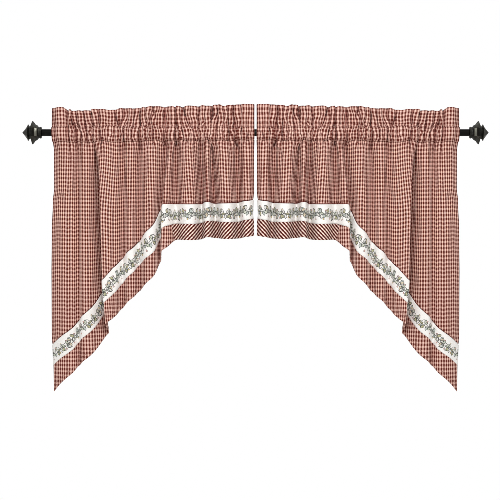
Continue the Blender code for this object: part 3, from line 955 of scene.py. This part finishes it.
leaf_ink = math_node(leaf_print, "MAXIMUM", outline, math_node(leaf_print, "MULTIPLY", vein, leaf_mask))
leaf_dyed = blend_colours(leaf_print, leaf_mask, leaf_in["Ground"], leaf_in["Dye"])
fill_in(leaf_print, leaf_out, {"Colour": blend_colours(leaf_print, leaf_ink, leaf_dyed, INK)})

# printed berry: a round berry in its dye, with its outline in ink and a stem that bows to the vine
STEM_HALF_WIDTH = 0.5
STEM_BOW = 7.0
BERRY_EDGE = 2.6
BERRY_OUTLINE = -1.7
berry_print, berry_in, berry_out = new_group(
    "printed berry",
    {"Place": "Vector", "Middle": "Vector", "Radius": "Float", "Stem": "Float", "Ground": "Color",
     "Dye": "Color"},
    {"Colour": "Color"})
from_middle, apart_by = [
    add_node(berry_print, "VectorMath", {0: berry_in["Place"], 1: berry_in["Middle"]}, operation=operation)
    for operation in ("SUBTRACT", "DISTANCE")]
within = math_node(berry_print, "SUBTRACT", berry_in["Radius"], apart_by.outputs["Value"])
berry_mask = math_node(berry_print, "MULTIPLY_ADD", within, BERRY_EDGE, 0.0, clamp=True)
berry_inner = math_node(berry_print, "MULTIPLY_ADD", within, BERRY_EDGE, BERRY_OUTLINE, clamp=True)
berry_parts = add_node(berry_print, "SeparateXYZ", {0: from_middle.outputs[0]}).outputs
up_stem = math_node(berry_print, "DIVIDE", berry_parts["Y"], berry_in["Stem"])
on_stem = math_node(berry_print, "MULTIPLY", up_stem, math_node(berry_print, "SUBTRACT", 1.0, up_stem))
bowed = math_node(
    berry_print, "SUBTRACT", berry_parts["X"], math_node(berry_print, "MULTIPLY", on_stem, STEM_BOW))
slim = math_node(berry_print, "LESS_THAN", math_node(berry_print, "ABSOLUTE", bowed), STEM_HALF_WIDTH)
stem = math_node(berry_print, "MULTIPLY", slim, math_node(berry_print, "GREATER_THAN", on_stem, 0.0))
stem = math_node(berry_print, "MULTIPLY", stem, math_node(berry_print, "SUBTRACT", 1.0, berry_mask))
berry_ring = math_node(berry_print, "SUBTRACT", berry_mask, berry_inner)
berry_ink = math_node(berry_print, "MAXIMUM", berry_ring, stem)
berry_dyed = blend_colours(berry_print, berry_mask, berry_in["Ground"], berry_in["Dye"])
fill_in(berry_print, berry_out, {"Colour": blend_colours(berry_print, berry_ink, berry_dyed, INK)})

# The print, over one repeat of the strip, in mm: leaves and twigs by where they leave the vine, their turn in
# degrees from its run (below 0 is upwards), length and width, and berries by how far along and down they lie.
PRINT_REPEAT = 148.0
VINE_DOWN = 29.5
VINE_SWING = 4.5
VINE_RIPPLE = 1.9
VINE_HALF_WIDTH = 0.8
VINE_EDGE = -2.5
BACK_STRENGTH = 0.22
DYES = {
    "sage": (0.62, 0.65, 0.54),
    "olive": (0.53, 0.51, 0.32),
    "grey": (0.74, 0.73, 0.69),
    "teal": (0.56, 0.61, 0.57),
    "tan": (0.72, 0.62, 0.47),
    "ochre": (0.62, 0.49, 0.24),
    "pink": (0.64, 0.40, 0.36),
    "plain": (0.93, 0.92, 0.88),
}
PLAIN_GROUND = (0.985, 0.965, 0.94)
SHADED_GROUND = tuple(0.9 * part for part in PLAIN_GROUND)
Leaf = namedtuple("Leaf", "along turn length width dye")
LEAVES = [Leaf(*row) for row in (
    (1, -52, 21, 11.1, "sage"), (3, 30, 18.5, 9.0, "plain"), (11, -8, 16.5, 8.0, "olive"),
    (14, 118, 16.5, 10.1, "teal"), (20, -112, 17.5, 9.0, "plain"), (21, 18, 22, 10.1, "grey"),
    (30, -64, 16.5, 9.5, "grey"), (33, 66, 17.5, 10.1, "sage"), (38, -22, 20, 9.5, "plain"),
    (42, 142, 16.5, 8.5, "olive"), (46, -134, 16.5, 9.0, "sage"), (49, 40, 21, 11.1, "teal"),
    (54, -44, 18.5, 9.5, "grey"), (61, 8, 18.5, 8.5, "plain"), (66, 104, 16.5, 10.1, "tan"),
    (68, -76, 17.5, 10.6, "teal"), (75, 26, 21, 10.6, "sage"), (80, -28, 17.5, 8.5, "grey"),
    (85, 128, 16.5, 9.5, "plain"), (88, -120, 17.5, 10.1, "olive"), (93, 54, 17.5, 9.5, "grey"),
    (97, -12, 20, 9.0, "sage"), (104, 84, 16.5, 10.1, "plain"), (106, -60, 20, 11.1, "sage"),
    (113, 20, 20, 9.5, "teal"), (118, -142, 15.5, 9.0, "plain"), (121, 134, 16.5, 9.5, "grey"),
    (126, -36, 20, 10.1, "olive"), (132, 62, 17.5, 10.6, "sage"), (139, -88, 16.5, 9.5, "grey"),
    (141, 12, 18.5, 8.5, "plain"), (7, 84, 15.5, 8.5, "olive"), (26, 92, 15.5, 8.5, "plain"),
    (59, -96, 16.5, 9.5, "sage"), (57, 76, 15.5, 9.5, "grey"), (101, 116, 14.5, 8.5, "teal"),
    (73, -132, 14.5, 8.5, "tan"), (110, -98, 16.5, 9.5, "teal"), (146, 108, 15.5, 9.5, "teal"),
)]
Berry = namedtuple("Berry", "along down radius dye")
BERRIES = [Berry(*row) for row in (
    (6, 18.0, 3.0, "pink"), (17, 42.5, 2.9, "ochre"), (36, 18.0, 2.8, "tan"), (45, 43.5, 3.0, "pink"),
    (59, 20.5, 2.6, "pink"), (76, 42.0, 2.9, "pink"), (92, 17.5, 2.8, "pink"), (99, 42.5, 3.0, "ochre"),
    (124, 43.5, 2.9, "pink"), (134, 18.0, 2.8, "tan"),
)]


def vine_down(along):
    """How far below the band's upper seam the vine runs."""
    turn = along / PRINT_REPEAT * math.tau
    return VINE_DOWN + VINE_SWING * math.sin(turn) + VINE_RIPPLE * math.sin(3 * turn + 1)


def strip_place(tree, cut):
    """The place on the strip in mm, as a vector and as its parts: how far along one repeat of the print, and
    minus how far down."""
    slanted, level = [
        add_node(tree, "Mapping", {
            "Vector": cut, "Scale": (1 / MM,) * 3, "Rotation": (0, 0, angle), "Location": (*shift, 0)}).outputs[0]
        for angle, shift in (
            (-CUT_ANGLE, (math.sin(CUT_ANGLE) * CUT_OUTER, math.cos(CUT_ANGLE) * CUT_OUTER)),
            (0.0, (MITRE_AT / math.cos(CUT_ANGLE) - MITRE_AT, CUT_LEVEL)))]
    parts = add_node(tree, "SeparateXYZ", {0: choose(tree, past_mitre(tree, cut), slanted, level)}).outputs
    along = math_node(tree, "WRAP", parts["X"], PRINT_REPEAT, 0.0)
    place = add_node(tree, "CombineXYZ", {"X": along, "Y": parts["Y"]})
    return place.outputs[0], along, parts["Y"]


def printed_band_material(name, strength):
    """Cream cotton with the berry vine printed on it, at full strength on the face and pale on the back."""
    material, tree, shader = new_material(name)
    cut = add_node(tree, "UVMap", uv_map="cut").outputs["UV"]
    threads = add_node(tree, "Group", {"Cut": cut}, node_tree=woven).outputs
    place, along, minus_down = strip_place(tree, cut)
    turn = math_node(tree, "MULTIPLY", along, math.tau / PRINT_REPEAT)
    third = math_node(tree, "MULTIPLY_ADD", turn, 3.0, 1.0)
    swing = math_node(tree, "MULTIPLY_ADD", math_node(tree, "SINE", turn), VINE_SWING, minus_down)
    runs = math_node(tree, "MULTIPLY_ADD", math_node(tree, "SINE", third), VINE_RIPPLE, swing)
    off_vine = math_node(tree, "ABSOLUTE", math_node(tree, "ADD", runs, VINE_DOWN))
    vine = math_node(tree, "MULTIPLY_ADD", off_vine, VINE_EDGE, -VINE_EDGE * VINE_HALF_WIDTH, clamp=True)
    colour = blend_colours(tree, vine, blend_colours(tree, threads["Slub"], PLAIN_GROUND, SHADED_GROUND), INK)
    for leaf in LEAVES:
        for shift in (-PRINT_REPEAT, 0.0, PRINT_REPEAT):
            start = leaf.along + shift
            if not -leaf.length < start < PRINT_REPEAT:
                continue
            turn = math.radians(leaf.turn)
            middle_along = start + math.cos(turn) * leaf.length / 2
            middle_down = vine_down(start) + math.sin(turn) * leaf.length / 2
            colour = add_node(tree, "Group", {
                "Place": place, "Middle": (middle_along, -middle_down, 0), "Turn": (0, 0, -turn),
                "Half Size": (leaf.length / 2, leaf.width / 2, 1), "Ground": colour, "Dye": DYES[leaf.dye],
            }, node_tree=leaf_print).outputs["Colour"]
    for berry in BERRIES:
        colour = add_node(tree, "Group", {
            "Place": place, "Middle": (berry.along, -berry.down, 0), "Radius": berry.radius,
            "Stem": berry.down - vine_down(berry.along), "Ground": colour, "Dye": DYES[berry.dye],
        }, node_tree=berry_print).outputs["Colour"]
    fill_in(tree, shader, {
        "Base Color": blend_colours(tree, strength, PLAIN_GROUND, colour),
        "Normal": bumped(tree, threads["Height"], THREAD_STRENGTH, THREAD_HEIGHT),
        "Roughness": 0.85, "Specular IOR Level": 0.25})
    return material


band_front = printed_band_material("printed vine cotton", 1.0)
band_back = printed_band_material("back of the printed cotton", BACK_STRENGTH)
band_rows = strip_rows(seam_drop, foot_drop, BAND_STEPS, BAND_PROUD)
band_flat = strip_flat(flat_at, cut_line(0.0), cut_line(BAND_WIDTH), BAND_STEPS)
for where, side in SIDES:
    piece = cloth_sheet(
        "printed_vine_band_" + where, band_rows, side, (band_front, band_back), band_flat,
        np.zeros((BAND_STEPS + 1, COLUMNS + 1)))
    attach(piece, "root")
    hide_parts("vine_band_" + where)


# ---- The bias borders -------------------------------------
# A strip of the same cotton gingham, tucked under the band's foot and hemmed at the bottom. Along the slanted
# edge its check runs as the panel's does. Along the level edge it is cut on the bias, so that it runs slantwise.
BIAS_LENGTHWISE = 0.74
BIAS_EASE = 0.74
BIAS_CREAM = (0.99, 0.80, 0.71)
BIAS_RED = (0.075, 0.005, 0.0018)
BORDER_TUCK = 7.0
BORDER_STEPS = 14
HEM_STEPS = 3
EASED = 0.65
EASED_IN = 40.0


def border_turn(tree, cut):
    """There one set of its stripes stands out, and its colours are deeper."""
    turned = add_node(tree, "Mapping", {
        "Vector": cut, "Rotation": (0, 0, math.radians(45)), "Scale": (BIAS_EASE, 1, 1)})
    level = past_mitre(tree, cut)
    lengthwise = math_node(tree, "MULTIPLY_ADD", level, BIAS_LENGTHWISE - LENGTHWISE, LENGTHWISE)
    cream = blend_colours(tree, level, as_seen(CREAM_THREAD), as_seen(BIAS_CREAM))
    red = blend_colours(tree, level, as_seen(RED_THREAD), as_seen(BIAS_RED))
    return choose(tree, level, cut, turned.outputs[0]), lengthwise, cream, red


bias_gingham = gingham_material("bias gingham", border_turn)
border_top = foot_drop - BORDER_TUCK
border_rows = strip_rows(border_top, hem_drop, BORDER_STEPS)
# Past the mitre the strip was eased in, so that most of its length is spread evenly across the folds
hung_across = hung(hem_drop)[:, 0]
first_eased = int(np.searchsorted(flat_at, MITRE_AT))
evenly = np.interp(
    hung_across, (hung_across[first_eased], hung_across[-1]), (flat_at[first_eased], FLAT_WIDTH))
eased_at = flat_at + (evenly - flat_at) * EASED * held((flat_at - MITRE_AT) / EASED_IN)
border_flat = strip_flat(eased_at, border_top, hem_drop, BORDER_STEPS)
# Painted shade in the border's creases, weaker than round the pocket
border_painted_shade = [in_crease(row, 1) * HUNG_CREASE_SHADE for row in border_rows]
for where, side in SIDES:
    piece = cloth_sheet(
        "bias_gingham_border_" + where, border_rows, side, (bias_gingham,), border_flat, border_painted_shade,
        bottom_hem=HEM_STEPS)
    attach(piece, "root")
    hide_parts("bias_border_" + where)


# ---- The stitching ----------------------------------------
# Lock stitches in a dull red cotton thread: two rows across each pocket, one along each side hem and the bottom
# hem, and one above the band's seam. The thread dips into the cloth between its stitches, front and back.
STITCH = 3.2
STITCH_STEPS = 5
THREAD_SIDES = 4
THREAD_RADIUS = 0.3
NEXT_TO = 0.6
THREAD_RISE = (-0.75, 0.05, 0.2, 0.2, 0.05)
TWIST_PITCH = 0.9
UPPER_STITCHES = BACK_ROWS + RUFFLE_FRONT + 1
LOWER_STITCHES = UPPER_STITCHES + POCKET_FRONT
SEAM_STITCHES = len(top_rows) - 5
FROM_EDGE = (HEM - 1.5) / FLAT_WIDTH * COLUMNS
HEM_ROW = BORDER_STEPS - HEM_STEPS + 0.3
panel_grid = np.array(top_rows)
border_grid = np.array(border_rows)


def run_across(grid, row, way, layers):
    return grid, np.full(COLUMNS + 1, float(row)), np.arange(COLUMNS + 1.0), way, layers


def run_down(grid, first, last, column, way):
    steps = int(last - first) + 1
    return grid, np.linspace(first, last, steps), np.full(steps, column), way, 2


# Every row of stitches: on which grid of cloth, along which rows and columns, on the front (-1) or the back (1)
RUNS = [
    run_across(panel_grid, UPPER_STITCHES, -1, 1), run_across(panel_grid, LOWER_STITCHES, -1, 1),
    run_across(panel_grid, SEAM_STITCHES, -1, 1), run_across(border_grid, HEM_ROW, -1, 2),
    run_across(panel_grid, POCKET_BACK, 1, 1), run_across(panel_grid, 0.2, 1, 1),
    run_across(panel_grid, SEAM_STITCHES, 1, 1), run_across(border_grid, HEM_ROW, 1, 2),
]
for column in (FROM_EDGE, COLUMNS - FROM_EDGE):
    for way in (-1, 1):
        RUNS.append(run_down(panel_grid, LOWER_STITCHES + 1, SEAM_STITCHES, column, way))
        RUNS.append(run_down(border_grid, 0, BORDER_STEPS, column, way))
    RUNS.append(run_down(panel_grid, BACK_ROWS + 1, UPPER_STITCHES, column, -1))


def on_grid(grid, rows, columns):
    """The points of a grid of cloth at these row and column numbers."""
    low, left = np.minimum(rows.astype(int), len(grid) - 2), np.minimum(columns.astype(int), COLUMNS - 1)
    down, across = (rows - low)[:, None], (columns - left)[:, None]
    upper = grid[low, left] * (1 - across) + grid[low, left + 1] * across
    lower = grid[low + 1, left] * (1 - across) + grid[low + 1, left + 1] * across
    return upper * (1 - down) + lower * down


def unit(vectors):
    return vectors / np.maximum(np.linalg.norm(vectors, axis=1), 1e-9)[:, None]


def thread_rings(grid, rows, columns, way, layers):
    """The points of one row of stitches: a ring of the thread at every step along the cloth."""
    lengths = lengths_along(on_grid(grid, rows, columns))
    count = max(int(lengths[-1] / STITCH), 1) * STITCH_STEPS + 1
    at = np.linspace(0, lengths[-1], count)
    rows, columns = np.interp(at, lengths, rows), np.interp(at, lengths, columns)
    across = on_grid(grid, rows, np.minimum(columns + NEXT_TO, COLUMNS)) - on_grid(
        grid, rows, np.maximum(columns - NEXT_TO, 0))
    down = on_grid(grid, np.minimum(rows + NEXT_TO, len(grid) - 1), columns) - on_grid(
        grid, np.maximum(rows - NEXT_TO, 0), columns)
    out = unit(np.cross(across, down))
    out *= np.where(out[:, 1:2] * way < 0, -1, 1)
    rise = layers * CLOTH / 2 + np.resize(THREAD_RISE, count)
    course = on_grid(grid, rows, columns) + out * rise[:, None]
    beside = unit(np.cross(unit(np.gradient(course, axis=0)), out))
    return np.array([
        course + THREAD_RADIUS * (out * math.cos(turn) + beside * math.sin(turn))
        for turn in np.arange(THREAD_SIDES) * math.tau / THREAD_SIDES]), at


THREAD_COLOURS = ((0.13, 0.03, 0.022), (0.27, 0.075, 0.055))
cotton_thread, thread_tree, thread_shader = new_material("dull red thread")
twist = add_node(thread_tree, "UVMap", uv_map="twist").outputs["UV"]
thread_turn = add_node(thread_tree, "TexWave", {"Vector": twist, "Scale": 1.0}, bands_direction="DIAGONAL")
fill_in(thread_tree, thread_shader, {
    "Base Color": blend_colours(thread_tree, thread_turn.outputs["Fac"], *THREAD_COLOURS),
    "Roughness": 0.7, "Specular IOR Level": 0.3, "Sheen Weight": 0.1})

stitch_runs = [thread_rings(*run) for run in RUNS]
for where, side in SIDES:
    sewing = bmesh.new()
    twist_map = sewing.loops.layers.uv.new("twist")
    for rings, at in stitch_runs:
        made = bmesh.ops.create_grid(sewing, x_segments=len(at) - 1, y_segments=THREAD_SIDES, size=1.0)["verts"]
        twisted = {}
        for vert in made:
            step = round((vert.co.x + 1) / 2 * (len(at) - 1))
            turn = round((vert.co.y + 1) / 2 * THREAD_SIDES)
            twisted[vert] = (at[step] / TWIST_PITCH, turn / THREAD_SIDES)
            vert.co = Vector(rings[turn % THREAD_SIDES][step]) * MM
        for face in {face for vert in made for face in vert.link_faces}:
            for loop in face.loops:
                loop[twist_map].uv = twisted[loop.vert]
    bmesh.ops.remove_doubles(sewing, verts=sewing.verts, dist=0.001 * MM)
    if side > 0:
        bmesh.ops.scale(sewing, vec=(-1, 1, 1), verts=sewing.verts)
    bmesh.ops.holes_fill(sewing, edges=[edge for edge in sewing.edges if edge.is_boundary], sides=THREAD_SIDES)
    bmesh.ops.recalc_face_normals(sewing, faces=sewing.faces)
    piece = joined_mesh("stitching_" + where, sewing, cotton_thread)
    piece.data.shade_smooth()
    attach(piece, "root")
